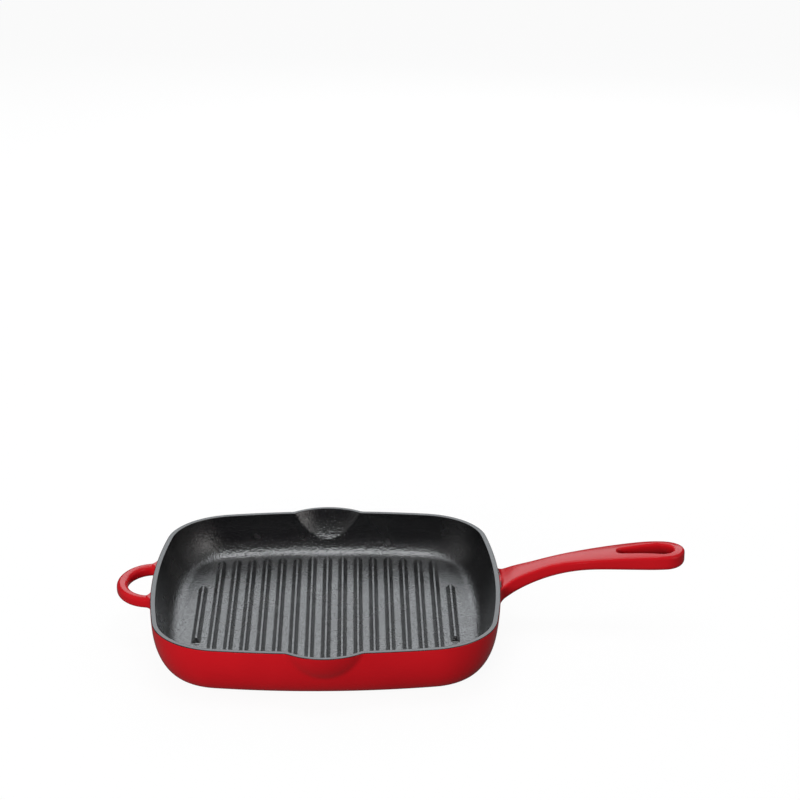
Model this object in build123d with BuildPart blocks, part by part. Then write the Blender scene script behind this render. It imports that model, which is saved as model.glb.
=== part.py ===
from build123d import *

import os
from math import atan, atan2, cos, degrees, hypot, radians, sin, sqrt

# Square grill pan: one iron casting under vitreous enamel. Millimetres, +Z up.
# The origin is the middle of the face that the pan stands on, +X points along the long handle.

# Bowl
rim_half = 130.0
pan_height = 38.0
side_bow_radius = 537.0
rim_corner_radius = 54.0
corner_tightening_share = 1.2
foot_inset = 20.7
wall = 4.0
floor_level = 7.5
floor_inset = 18.0
foot_ring_width = 8.0
foot_recess = 2.2
foot_recess_round = 1.2

# Enamel
enamel = 0.4
rim_band = 1.0
rim_round = 0.8
underside_margin = 1.0

# Pouring spouts, hollowed by a ball above the rim
spout_radius = 40.8
spout_wall = 3.5
spout_centre_inset = 29.8
spout_centre_rise = 11.5
spout_blend = 6.0
spout_edge_round = 2.0

# Grill ribs
rib_pitch = 11.9
long_ribs = 15
rib_height = 3.6
rib_base_width = 6.7
rib_crest_width = 1.4
rib_crest_round = 0.6
rib_end_margin = 4.4
short_rib_length = 98.0

# Long handle
handle_reach = 138.3
handle_root_level = 30.3
handle_rise = 24.1
handle_thickness = 11.8
handle_crown = 1.3
handle_root_half = 21.0
handle_waist_half = 9.4
handle_waist_from_rim = 38.0
handle_end_radius = 16.2
handle_top_round = 2.2
handle_under_round = 4.0
handle_root_blend = 1.0
handle_rim_clearance = 1.2
hang_hole_end_radius = 9.0
hang_hole_tip_radius = 4.6
hang_hole_length = 41.9
hang_hole_from_tip = 8.4
hang_hole_lip = 2.2

# Helper handle, a half ellipse of round-cornered bar
loop_reach = 22.4
loop_half_width = 29.1
loop_level = 32.4
loop_bar_width = 8.3
loop_bar_height = 8.4
loop_bar_round = 3.2
loop_root_blend = 3.5

# Cuts run past what they cut by this much
overrun = 4.0

# The wall's section is a quarter ellipse, drawn through these angles from the foot past the rim
wall_angles = (90, 80, 68, 55, 40, 25, 12, 0, -7)

# Along the handle, from the rim to the tip: place, rise, thickness and crown as shares of its sizes
handle_side_shares = (
    (-0.05, -0.129, 1.236, 0.05),
    (0.0, 0.0, 1.053, 0.1),
    (0.07, 0.2135, 1.026, 0.4),
    (0.145, 0.395, 0.953, 0.7),
    (0.29, 0.669, 0.866, 1.0),
    (0.43, 0.837, 0.784, 1.0),
    (0.65, 0.957, 0.928, 1.0),
    (0.86, 1.006, 1.05, 1.0),
    (1.0, 1.0, 1.0, 1.0),
    (1.1, 1.0, 1.0, 1.0),
)
# From the rim to the waist: place, and how much of the root's extra width is left
root_flare_shares = ((-0.16, 1.6), (0.0, 1.0), (0.06, 0.71), (0.16, 0.5), (0.27, 0.36), (0.53, 0.15))
# From the waist to the round end: place, and how much of the end's extra width is reached
end_flare_shares = ((0.0, 0.0), (0.26, 0.25), (0.5, 0.61), (0.74, 0.89), (1.0, 1.0))

rim_inner_half = rim_half - wall
spout_y = rim_inner_half - spout_centre_inset
spout_z = pan_height + spout_centre_rise
handle_cut_x = rim_half + spout_blend
loop_cut_x = -rim_half - loop_root_blend - rim_band
handle_plane = Plane.YZ.offset(handle_cut_x)
loop_plane = Plane.YZ.offset(loop_cut_x)
rim_plane = Plane.XY.offset(pan_height)
band_plane = Plane.XY.offset(pan_height - rim_band)


def rounded_square(half, bow_radius, corner_radius):
    """Square with bowed sides: four wide side arcs joined by four tangent corner arcs."""
    side_centre = half - bow_radius
    reach = bow_radius - corner_radius
    corner = (side_centre + sqrt(2 * reach**2 - side_centre**2)) / 2
    join = degrees(atan2(corner, corner - side_centre))
    with BuildSketch() as outline:
        with BuildLine():
            for turn in (0, 90, 180, 270):
                side = Vector(side_centre, 0).rotate(Axis.Z, turn)
                middle = Vector(corner, corner).rotate(Axis.Z, turn)
                CenterArc(side, bow_radius, turn - join, 2 * join)
                CenterArc(middle, corner_radius, turn + join, 90 - 2 * join)
        make_face()
    return outline.sketch


def bowl(rim_inset, reach, bottom, skin):
    """Bowl-shaped solid whose wall curves in to its bottom, drawn in by skin all over."""
    depth = pan_height - bottom
    with BuildPart() as blank:
        for angle in wall_angles:
            turn = radians(angle)
            outward = cos(turn) / reach
            downward = sin(turn) / depth
            slope = hypot(outward, downward)
            inset = reach * (1 - cos(turn))
            drawn_in = rim_inset + skin * outward / slope
            corner_radius = rim_corner_radius - corner_tightening_share * inset - drawn_in
            with BuildSketch(Plane.XY.offset(pan_height - depth * sin(turn) + skin * downward / slope)):
                add(rounded_square(rim_half - inset - drawn_in, side_bow_radius - inset - drawn_in, corner_radius))
        loft()
    return blank.part


def with_spouts(blank, ball_radius, blend):
    """The bowl with a ball through its front and back walls, blended where they meet."""
    with BuildPart() as shape:
        add(blank)
        with Locations((0, -spout_y, spout_z), (0, spout_y, spout_z)):
            Sphere(ball_radius)
        split(bisect_by=Plane.XY.offset(pan_height + overrun), keep=Keep.BOTTOM)
        fillet(shape.edges().filter_by(GeomType.BSPLINE).filter_by(is_spout_seam), blend)
    return shape.part


def is_spout_seam(edge):
    """True for an edge where a ball meets the wall: it dips in the middle between equal ends."""
    dip = (edge @ 0).Z - (edge @ 0.5).Z
    return dip > pan_height / 4 and abs((edge @ 0.5).X) < enamel


def outside(skin):
    """Outside of bowl and spouts, solid within, up to a little above the rim."""
    return with_spouts(bowl(0, foot_inset, 0, skin), spout_radius + spout_wall - skin, spout_blend + skin)


def hollow(skin):
    """The space inside the pan and its spouts."""
    return with_spouts(bowl(wall, floor_inset, floor_level, skin), spout_radius - skin, spout_edge_round + skin)


def handle_side(skin):
    """Long handle's outline from the side, in X and Z, with room left above for the crowned top."""
    upper = []
    lower = []
    for place, rise, thickness, crown in handle_side_shares:
        x = rim_half + place * handle_reach
        middle = handle_root_level + rise * handle_rise
        upper.append((x, middle + thickness * handle_thickness / 2 + overrun))
        lower.append((x, middle - thickness * handle_thickness / 2 + skin))
    with BuildSketch() as outline:
        with BuildLine():
            Spline(upper)
            Spline(lower)
            Line(upper[0], lower[0])
            Line(upper[-1], lower[-1])
        make_face()
    return outline.sketch


def under_crown(skin):
    """All that is under the long handle's top, which is highest along its middle."""
    half = 2 * handle_root_half
    with BuildPart() as space:
        for place, rise, thickness, crown in handle_side_shares:
            top = handle_root_level + rise * handle_rise + thickness * handle_thickness / 2 - skin
            side = top - crown * handle_crown * (half / handle_end_radius) ** 2
            with BuildSketch(Plane.YZ.offset(rim_half + place * handle_reach)):
                with BuildLine():
                    ThreePointArc((-half, side), (0, top), (half, side))
                    Polyline((half, side), (half, 0), (-half, 0), (-half, side))
                make_face()
        loft()
    return space.part


def handle_plan(skin):
    """Long handle's outline from above: flared root, waist and round end."""
    waist_x = rim_half + handle_waist_from_rim
    end_x = rim_half + handle_reach - handle_end_radius
    root_extra = handle_root_half - handle_waist_half
    end_extra = handle_end_radius - handle_waist_half
    side = []
    for place, left in root_flare_shares:
        side.append((rim_half + place * handle_waist_from_rim, handle_waist_half + left * root_extra - skin))
    for place, reached in end_flare_shares:
        side.append((waist_x + place * (end_x - waist_x), handle_waist_half + reached * end_extra - skin))
    with BuildSketch() as outline:
        with BuildLine():
            Spline(side, tangents=((1, -1), (1, 0)), tangent_scalars=(1, 1))
            CenterArc((end_x, 0), handle_end_radius - skin, 0, 90)
            Line((side[0][0], 0), side[0])
            Line((side[0][0], 0), (end_x + handle_end_radius - skin, 0))
        make_face()
        mirror(about=Plane.XZ)
    return outline.sketch


def hang_hole(skin):
    """Teardrop in plan, wide towards the tip of the handle."""
    far_end = rim_half + handle_reach - hang_hole_from_tip
    with BuildSketch() as outline:
        with Locations((far_end - hang_hole_end_radius, 0)):
            Circle(hang_hole_end_radius + skin)
        with Locations((far_end - hang_hole_length + hang_hole_tip_radius, 0)):
            Circle(hang_hole_tip_radius + skin)
        make_hull()
    return outline.sketch


def handle_bar(skin):
    """Long handle from inside the wall to its tip, edges rounded and hole lipped."""
    tall = 2 * (handle_root_level + handle_rise)
    with BuildPart() as bar:
        with BuildSketch(Plane.XZ.offset(-2 * handle_root_half)):
            add(handle_side(skin))
        extrude(amount=4 * handle_root_half)
        with BuildSketch():
            add(handle_plan(skin))
        extrude(amount=tall, mode=Mode.INTERSECT)
        add(under_crown(skin), mode=Mode.INTERSECT)
        fillet(upper_face(bar).edges().sort_by(Axis.X)[1:], handle_top_round - skin)
        fillet(lower_face(bar).edges().sort_by(Axis.X)[1:], handle_under_round - skin)
        with BuildSketch():
            add(hang_hole(skin))
        extrude(amount=tall, mode=Mode.SUBTRACT)
        fillet(hole_edges(upper_face(bar)) + hole_edges(lower_face(bar)), hang_hole_lip - skin)
    return bar.part


def upper_face(bar):
    """The handle's top, the face that looks up the most."""
    return bar.faces().sort_by(lambda face: face.normal_at().Z)[-1]


def lower_face(bar):
    """The handle's underside."""
    return bar.faces().sort_by(lambda face: face.normal_at().Z)[0]


def hole_edges(face):
    return face.inner_wires()[0].edges()


def loop_bar(skin):
    """Helper handle's bar, from inside the wall out and round and back."""
    inner = (-rim_inner_half, loop_half_width)
    with BuildPart() as bar:
        with BuildLine(Plane.XY.offset(loop_level)) as route:
            Line(inner, (-rim_half, loop_half_width))
            EllipticalCenterArc((-rim_half, 0), loop_reach, loop_half_width, start_angle=90, arc_size=180)
            Line((-rim_half, -loop_half_width), (-rim_inner_half, -loop_half_width))
        with BuildSketch(Plane(origin=(*inner, loop_level), x_dir=(0, 1, 0), z_dir=(-1, 0, 0))):
            RectangleRounded(loop_bar_width - 2 * skin, loop_bar_height - 2 * skin, loop_bar_round - skin)
        sweep(path=route.wire())
    return bar.part


def casting(skin):
    """The whole pan as a filled casting, its handles blended into the wall and clear of the rim's band."""
    body = outside(skin)
    handle = handle_bar(skin)
    loop = loop_bar(skin)
    with BuildPart() as rim:
        add(body)
        split(bisect_by=rim_plane.offset(-skin), keep=Keep.BOTTOM)
        split(bisect_by=band_plane.offset(-skin), keep=Keep.TOP)
    with BuildPart() as shape:
        add(body)
        add(handle)
        fillet(new_edges(body, handle, combined=shape.part), handle_root_blend + skin)
        handled = shape.part
        add(loop)
        fillet(new_edges(handled, loop, combined=shape.part), loop_root_blend + skin)
        with Locations((rim_half + handle_rim_clearance, 0, pan_height - rim_band - skin)):
            Box(3 * rim_half, 3 * rim_half, pan_height, align=(Align.MAX, Align.CENTER, Align.MIN),
                mode=Mode.SUBTRACT)
        add(rim.part)
    return shape.part


def flat_outline(inset, skin):
    """Outline in plan of something inside the flat foot, inset from the foot's edge and grown by skin."""
    total = foot_inset + inset - skin
    corner_radius = rim_corner_radius - corner_tightening_share * foot_inset - inset + skin
    return rounded_square(rim_half - total, side_bow_radius - total, corner_radius)


def foot_hollow(skin):
    """Shallow hollow inside the flat ring that the pan stands on."""
    with BuildPart() as hollowed:
        with BuildSketch():
            add(flat_outline(foot_ring_width, skin))
        extrude(amount=foot_recess + skin)
        fillet(hollowed.faces().sort_by(Axis.Z)[-1].edges(), foot_recess_round + skin)
    return hollowed.part


def rib_plan():
    """Place across the floor and length of each rib: long ones that follow the bow, a short one each side."""
    reach = rim_half - wall - floor_inset - rib_end_margin
    bow = side_bow_radius - rim_half + reach
    places = [(number - long_ribs // 2) * rib_pitch for number in range(long_ribs)]
    lengths = [2 * (reach - bow + sqrt(bow**2 - place**2)) for place in places]
    side = places[-1] + rib_pitch
    return [(-side, short_rib_length), *zip(places, lengths), (side, short_rib_length)]


def rib_bars(skin):
    """The grill ribs, sloped on every side, standing on the floor less skin."""
    slope = (rib_base_width - rib_crest_width) / 2 / rib_height
    drawn_in = skin * (hypot(1, slope) - slope)
    with BuildPart() as bars:
        with BuildSketch(Plane.XY.offset(floor_level - skin)):
            for place, length in rib_plan():
                with Locations((place, 0)):
                    Rectangle(rib_base_width - 2 * drawn_in, length - 2 * drawn_in)
        extrude(amount=rib_height, taper=degrees(atan(slope)))
        fillet(bars.edges().group_by(Axis.Z)[-1], rib_crest_round - skin)
    return bars.part


finished = casting(0)
rough = casting(enamel)
finished_hollow = hollow(0)
rough_hollow = hollow(-enamel)
finished_ribs = rib_bars(0)

with BuildPart() as pan_body:
    add(rough)
    add(rough_hollow, mode=Mode.SUBTRACT)
    add(foot_hollow(enamel), mode=Mode.SUBTRACT)
    split(bisect_by=handle_plane, keep=Keep.BOTTOM)
    split(bisect_by=loop_plane, keep=Keep.TOP)

with BuildPart() as long_handle:
    add(rough)
    split(bisect_by=handle_plane, keep=Keep.TOP)

with BuildPart() as helper_handle:
    add(rough)
    split(bisect_by=loop_plane, keep=Keep.BOTTOM)

with BuildPart() as grill_ribs:
    add(rib_bars(enamel))

with BuildPart() as level_body:
    add(outside(0))
    split(bisect_by=rim_plane, keep=Keep.BOTTOM)

with BuildPart() as lining:
    add(rough_hollow)
    split(bisect_by=band_plane, keep=Keep.BOTTOM)
    add(finished_hollow, mode=Mode.SUBTRACT)

with BuildPart() as cooking_enamel:
    add(level_body.part)
    add(finished_hollow, mode=Mode.SUBTRACT)
    fillet(cooking_enamel.faces().sort_by(Axis.Z)[-1].edges(), rim_round)
    split(bisect_by=band_plane, keep=Keep.TOP)
    add(lining.part)
    add(pan_body.part, mode=Mode.SUBTRACT)
    add(finished_ribs)
    add(grill_ribs.part, mode=Mode.SUBTRACT)

with BuildPart() as rim_band_body:
    add(level_body.part)
    split(bisect_by=band_plane, keep=Keep.TOP)

with BuildPart() as red_coat:
    add(finished)
    add(rough, mode=Mode.SUBTRACT)
    add(rim_band_body.part, mode=Mode.SUBTRACT)

with BuildPart() as long_handle_enamel:
    add(red_coat.part)
    split(bisect_by=handle_plane, keep=Keep.TOP)

with BuildPart() as helper_handle_enamel:
    add(red_coat.part)
    split(bisect_by=loop_plane, keep=Keep.BOTTOM)

with BuildPart() as underside_enamel:
    with BuildSketch():
        add(flat_outline(underside_margin, 0))
    extrude(amount=enamel)
    add(foot_hollow(enamel))
    add(foot_hollow(0), mode=Mode.SUBTRACT)

with BuildPart() as wall_enamel:
    add(red_coat.part)
    split(bisect_by=handle_plane, keep=Keep.BOTTOM)
    split(bisect_by=loop_plane, keep=Keep.TOP)
    with BuildSketch():
        add(flat_outline(underside_margin, 0))
    extrude(amount=floor_level, mode=Mode.SUBTRACT)

pan_body.part.label = "pan_body"
grill_ribs.part.label = "grill_ribs"
long_handle.part.label = "long_handle"
helper_handle.part.label = "helper_handle"
wall_enamel.part.label = "wall_enamel"
underside_enamel.part.label = "underside_enamel"
cooking_enamel.part.label = "cooking_enamel"
long_handle_enamel.part.label = "long_handle_enamel"
helper_handle_enamel.part.label = "helper_handle_enamel"

os.makedirs("parts", exist_ok=True)
export_step(pan_body.part, "parts/pan_body.step")
export_step(grill_ribs.part, "parts/grill_ribs.step")
export_step(long_handle.part, "parts/long_handle.step")
export_step(helper_handle.part, "parts/helper_handle.step")
export_step(wall_enamel.part, "parts/wall_enamel.step")
export_step(underside_enamel.part, "parts/underside_enamel.step")
export_step(cooking_enamel.part, "parts/cooking_enamel.step")
export_step(long_handle_enamel.part, "parts/long_handle_enamel.step")
export_step(helper_handle_enamel.part, "parts/helper_handle_enamel.step")
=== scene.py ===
from math import asin, atan2, cos, pi, radians, sin, sqrt, tan

import bmesh
import bpy
import numpy as np
from bpy.props import FloatProperty, FloatVectorProperty, IntProperty, PointerProperty
from bpy.types import Operator, Panel, PropertyGroup
from mathutils import Matrix, Vector


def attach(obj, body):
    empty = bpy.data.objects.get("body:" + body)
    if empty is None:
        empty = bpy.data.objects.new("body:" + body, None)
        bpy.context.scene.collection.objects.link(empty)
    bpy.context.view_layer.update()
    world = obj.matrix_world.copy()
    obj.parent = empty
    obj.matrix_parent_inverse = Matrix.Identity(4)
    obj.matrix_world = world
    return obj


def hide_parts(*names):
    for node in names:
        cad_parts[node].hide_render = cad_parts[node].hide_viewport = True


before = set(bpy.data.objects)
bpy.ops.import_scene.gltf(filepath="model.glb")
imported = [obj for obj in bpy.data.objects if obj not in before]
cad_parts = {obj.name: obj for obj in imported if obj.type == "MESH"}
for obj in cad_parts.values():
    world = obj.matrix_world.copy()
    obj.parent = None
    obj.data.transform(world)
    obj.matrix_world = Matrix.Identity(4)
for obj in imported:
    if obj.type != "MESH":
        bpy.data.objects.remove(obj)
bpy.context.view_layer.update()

bl_info = {
    "name": "Square Grill Pan",
    "version": (1, 0, 0),
    "blender": (4, 5, 0),
    "location": "View3D > Sidebar > Grill Pan",
    "description": "Builds a square enamelled cast iron grill pan and the studio it stands in",
    "category": "Add Mesh",
}


def length(name, description, default):
    return FloatProperty(name=name, description=description, default=default, unit="LENGTH", precision=5)


def number(name, description, default, unit="NONE"):
    return FloatProperty(name=name, description=description, default=default, unit=unit)


def share(name, description, default):
    return FloatProperty(name=name, description=description, default=default, subtype="FACTOR")


def colour(name, description, default):
    return FloatVectorProperty(name=name, description=description, default=default, subtype="COLOR", size=3,
                               min=0, max=1)


# Sizes


class BowlSizes(PropertyGroup):
    """Sizes of the bowl, its rim and its pouring spouts."""

    rim_half: length("Rim half width", "From the bowl's middle to a side's middle at the rim", 0.130)
    height: length("Height", "From the table to the top of the rim", 0.038)
    side_bow: length("Side bow radius", "Radius of the gently bowed sides", 0.537)
    corner: length("Corner radius", "Radius of the corners at the rim", 0.054)
    corner_tightening: number(
        "Corner tightening", "How much faster the corners tighten than the wall comes in", 1.2)
    foot_inset: length("Foot inset", "How far the outside comes in from rim to foot", 0.0207)
    wall: length("Wall", "Thickness at the rim", 0.004)
    floor_level: length("Floor level", "Height of the cooking floor over the table", 0.0075)
    floor_inset: length("Floor inset", "How far the inside comes in from rim to floor", 0.018)
    foot_margin: length("Underside margin", "From the foot's edge to the underside's glaze", 0.001)
    foot_ring: length("Foot ring width", "Width of the flat ring that the pan stands on", 0.008)
    foot_recess: length("Foot recess", "Depth of the hollow inside the foot ring", 0.0022)
    foot_round: length("Recess round", "Radius at the recess's edges", 0.0012)
    glaze: length("Glaze", "Thickness of the enamel", 0.0004)
    rim_band: length("Rim band", "Height of the black edge seen from outside", 0.0005)
    rim_round: length("Rim round", "Radius of the rim's edges", 0.0006)
    glaze_step: length("Glaze step", "How far the black edge stands in behind the red glaze", 0.00015)
    spout_radius: length("Spout radius", "Radius of the ball that hollows each spout", 0.0408)
    spout_wall: length("Spout wall", "Thickness of the spout's wall", 0.0035)
    spout_inset: length("Spout centre inset", "From the inside of the rim to the ball's centre", 0.0298)
    spout_rise: length("Spout centre rise", "From the rim up to the ball's centre", 0.0115)
    spout_blend: length("Spout blend", "How softly the spout's bulge leaves the wall", 0.0015)
    spout_edge: length("Spout edge", "How softly the spout's hollow leaves the wall", 0.0007)


class RibSizes(PropertyGroup):
    """Sizes of the grill ribs."""

    pitch: length("Pitch", "From rib to rib", 0.0119)
    long_count: IntProperty(name="Long ribs", description="How many ribs run right across", default=15, min=1)
    height: length("Height", "From floor to crest", 0.0036)
    base_width: length("Base width", "Width at the floor", 0.0067)
    crest_width: length("Crest width", "Width of the flat on top", 0.0014)
    crest_round: length("Crest round", "Radius of the crest's edges", 0.0005)
    foot_round: length("Foot round", "Radius where the glaze pools along the floor", 0.001)
    end_margin: length("End margin", "From the floor's edge to a rib's end", 0.0044)
    short_length: length("Short rib", "Length of the single rib along each side", 0.098)


class HandleSizes(PropertyGroup):
    """Sizes of the long handle and its hanging hole."""

    reach: length("Reach", "From the rim to the handle's tip", 0.1383)
    root_level: length("Root level", "Height of the handle's middle at the rim", 0.0303)
    rise: length("Rise", "How much higher the tip is than the root", 0.0241)
    thickness: length("Thickness", "Thickness at the tip", 0.0118)
    crown: length("Crown", "How much higher the middle of the top is than its sides", 0.0013)
    root_half: length("Root half width", "Half the width at the rim", 0.021)
    waist_half: length("Waist half width", "Half the width at the narrowest place", 0.0094)
    waist_place: length("Waist place", "From the rim to the narrowest place", 0.038)
    end_radius: length("End radius", "Radius of the round end", 0.0162)
    top_round: length("Top round", "Radius of the upper edges", 0.0022)
    under_round: length("Under round", "Radius of the lower edges", 0.004)
    root_blend: length("Root blend", "Radius where the handle meets the wall", 0.001)
    hole_end_radius: length("Hole end radius", "Radius of the hole's wide end", 0.009)
    hole_tip_radius: length("Hole tip radius", "Radius of the hole's narrow end", 0.0046)
    hole_length: length("Hole length", "Length of the hanging hole", 0.0419)
    hole_from_tip: length("Hole from tip", "Metal left between the hole and the tip", 0.0084)
    hole_lip: length("Hole lip", "Radius of the hole's edges", 0.0022)


class LoopSizes(PropertyGroup):
    """Sizes of the helper handle."""

    reach: length("Reach", "From the rim out to the middle of the bar", 0.0224)
    half_width: length("Half width", "Half the distance between the two ends of the bar", 0.0291)
    level: length("Level", "Height of the bar's middle", 0.0324)
    bar_width: length("Bar width", "Width of the bar in plan", 0.0083)
    bar_height: length("Bar height", "Height of the bar", 0.0084)
    bar_round: length("Bar round", "Radius of the bar's edges", 0.0032)
    root_blend: length("Root blend", "Radius where the bar meets the wall", 0.0041)
    root_drop: length("Root drop", "From the rim down to the flat top of the root", 0.0009)


class Finishes(PropertyGroup):
    """Colours and roughness of the enamel and the iron."""

    red: colour("Red glaze", "Main colour of the outside", (0.520, 0.0075, 0.0125))
    red_deep: colour("Deep red glaze", "Colour where the glaze is thicker", (0.440, 0.0060, 0.0105))
    red_roughness: share("Red roughness", "Roughness of the red glaze", 0.16)
    black: colour("Black glaze", "Main colour of the inside", (0.0019, 0.0020, 0.0025))
    black_worn: colour("Thin black glaze", "Colour where the black glaze is thin", (0.0038, 0.0038, 0.0042))
    black_roughness: share("Black roughness", "Roughness of the black glaze", 0.25)
    red_ior: number("Red gloss", "Index of refraction of the red glaze", 1.28)
    black_ior: number("Black gloss", "Index of refraction of the black glaze", 2.25)
    rim_ior: number("Rim gloss", "Index of refraction of the black glaze on the rim", 1.75)
    iron: colour("Iron", "Colour of the bare casting", (0.115, 0.112, 0.110))


class StudioSettings(PropertyGroup):
    """Camera, lamps, floor and room."""

    lens: number("Lens", "Focal length in millimetres", 103.35, "CAMERA")
    camera_place: FloatVectorProperty(name="Camera place", description="Where the camera stands", size=3,
                                      default=(0.02253, -1.5760, 0.7427), subtype="TRANSLATION")
    yaw: number("Yaw", "Camera's turn to the right", 0.0206, "ROTATION")
    pitch: number("Pitch", "Camera's tilt down", 0.3435, "ROTATION")
    roll: number("Roll", "Camera's turn about its own axis", 0.0025, "ROTATION")
    floor_colour: colour("Floor", "Colour of the floor and the backdrop to the camera", (0.93, 0.93, 0.93))
    floor_dim: colour("Dim floor", "Colour of the floor and the backdrop to all else", (0.08, 0.08, 0.08))
    seen_share: share("Seen share", "Share of the floor's white that the lamps don't make", 0.93)
    mirrored_share: share("Mirrored share", "Share of the floor's white that shows in the gloss", 0.05)
    fill_power: number("Front fill", "Power of the front fill", 27.0, "POWER")
    back_fill_power: number("Back fill", "Power of the fill behind the pan", 10.0, "POWER")
    top_power: number("Top", "Power of the overhead softbox", 4.8, "POWER")
    back_power: number("Back", "Power of the softbox behind the pan", 10.8, "POWER")
    high_power: number("High back", "Power of the strip light over it", 1.8, "POWER")
    left_power: number("Front left", "Power of the left front lamp", 0.2, "POWER")
    right_power: number("Front right", "Power of the right front lamp", 0.15, "POWER")
    side_power: number("Side", "Power of the softbox at the right", 2.6, "POWER")
    room: number("Room", "Strength of the room's own light", 0.42)
    room_gloss: number("Room in the gloss", "Strength of the room in the gloss", 0.24)
    dark_front: colour("Dark front", "Colour in the gloss of the room behind the camera", (0.06, 0.06, 0.065))


SIZE_GROUPS = {"bowl": BowlSizes, "ribs": RibSizes, "handle": HandleSizes, "loop": LoopSizes,
               "finishes": Finishes, "studio": StudioSettings}


# The long handle's shape, measured in the photograph through the fitted camera and then rounded and
# corrected: place along the reach, rise, thickness and crown, then place along each flare and width, all as
# shares of the sizes above

HANDLE_SIDE_SHARES = (
    (-0.05, -0.129, 1.236, 0.05),
    (0.0, 0.0, 1.053, 0.1),
    (0.07, 0.2135, 1.026, 0.4),
    (0.145, 0.395, 0.953, 0.7),
    (0.29, 0.669, 0.866, 1.0),
    (0.43, 0.837, 0.784, 1.0),
    (0.65, 0.957, 0.928, 1.0),
    (0.86, 1.006, 1.05, 1.0),
    (1.0, 1.0, 1.0, 1.0),
    (1.1, 1.0, 1.0, 1.0),
)
ROOT_FLARE_SHARES = ((-0.16, 1.6), (0.0, 1.0), (0.06, 0.71), (0.16, 0.5), (0.27, 0.36), (0.53, 0.15))
END_FLARE_SHARES = ((0.0, 0.0), (0.26, 0.25), (0.5, 0.61), (0.74, 0.89), (1.0, 1.0))

# Fineness of the meshes and how far they reach into the wall, with lengths in metres

SIDE_SHARE = 0.61
SIDE_STEP = 0.003
CORNER_STEPS = 28
ROUND_STEPS = 6
UPPER_WALL_ROWS = 34
LOWER_WALL = radians(60)
ROOT_DEPTH = 0.0022
HANDLE_START = 0.0015
MERGE_DISTANCE = 2e-6


# Meshes


def add_loft(build, rows, round_and_round=True, first_cap=False, last_cap=False):
    """Four-sided faces between rows of points, each row the same count, and over the ends if wanted."""
    count = len(rows[0])
    verts = [[build.verts.new(point) for point in row] for row in rows]
    for near, far in zip(verts, verts[1:]):
        for i in range(count if round_and_round else count - 1):
            j = (i + 1) % count
            build.faces.new((near[i], near[j], far[j], far[i]))
    if first_cap:
        build.faces.new(reversed(verts[0]))
    if last_cap:
        build.faces.new(verts[-1])


def lofted(name, rows, **ends):
    """Mesh object of one loft."""
    build = bmesh.new()
    add_loft(build, rows, **ends)
    return finished_mesh(name, build)


def finished_mesh(name, build):
    """Object from a bmesh, shaded smooth."""
    for face in build.faces:
        face.smooth = True
    mesh = bpy.data.meshes.new(name)
    build.to_mesh(mesh)
    build.free()
    piece = bpy.data.objects.new(name, mesh)
    bpy.context.scene.collection.objects.link(piece)
    return piece


def quarter_turn(steps=ROUND_STEPS):
    """Sines and cosines at even steps of a quarter turn."""
    return [(sin(pi / 2 * step / steps), cos(pi / 2 * step / steps)) for step in range(steps + 1)]


def rounded_rectangle(half_across, half_up, radius, steps):
    """Points round a rectangle with round corners."""
    points = []
    for quarter, (sx, sy) in enumerate(((1, 1), (-1, 1), (-1, -1), (1, -1))):
        for step in range(steps + 1):
            angle = pi / 2 * (quarter + step / steps)
            points.append((sx * (half_across - radius) + radius * cos(angle),
                           sy * (half_up - radius) + radius * sin(angle)))
    return np.array(points)


def around_stations(spout_step, spout_reach):
    """Stations round the bowed square: quarter turn, whether on a corner, and share of that arc."""
    side_half = bpy.context.scene.bowl.rim_half * SIDE_SHARE
    stations = []
    for quarter in range(4):
        if quarter % 2:
            count = int((side_half - spout_reach) / SIDE_STEP) + 1
            places = np.concatenate([
                np.linspace(-side_half, -spout_reach, count)[:-1],
                np.linspace(-spout_reach, spout_reach, int(2 * spout_reach / spout_step) + 1)[:-1],
                np.linspace(spout_reach, side_half, count),
            ])
        else:
            places = np.linspace(-side_half, side_half, int(2 * side_half / SIDE_STEP) + 1)
        stations += [(quarter, 0, (place + side_half) / (2 * side_half)) for place in places[:-1]]
        stations += [(quarter, 1, step / CORNER_STEPS) for step in range(CORNER_STEPS)]
    return np.array(stations)


def bowed_square(stations, inset, drawn_in):
    """Points in plan and outward directions, inset as the wall is and then drawn in evenly."""
    bowl = bpy.context.scene.bowl
    half = bowl.rim_half - inset - drawn_in
    bow = bowl.side_bow - inset - drawn_in
    corner = max(bowl.corner - bowl.corner_tightening * inset - drawn_in, bowl.glaze)
    side_middle = half - bow
    corner_middle = (side_middle + sqrt(2 * (bow - corner) ** 2 - side_middle**2)) / 2
    join = atan2(corner_middle, corner_middle - side_middle)
    quarter, on_corner, along = stations.T
    angle = np.where(on_corner, join + along * (pi / 2 - 2 * join), (2 * along - 1) * join)
    radius = np.where(on_corner, corner, bow)
    x = np.where(on_corner, corner_middle, side_middle) + radius * np.cos(angle)
    y = np.where(on_corner, corner_middle, 0.0) + radius * np.sin(angle)
    turn = quarter * pi / 2
    points = np.stack([x * np.cos(turn) - y * np.sin(turn), x * np.sin(turn) + y * np.cos(turn)], -1)
    outward = np.stack([np.cos(angle + turn), np.sin(angle + turn)], -1)
    return points, outward


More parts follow.
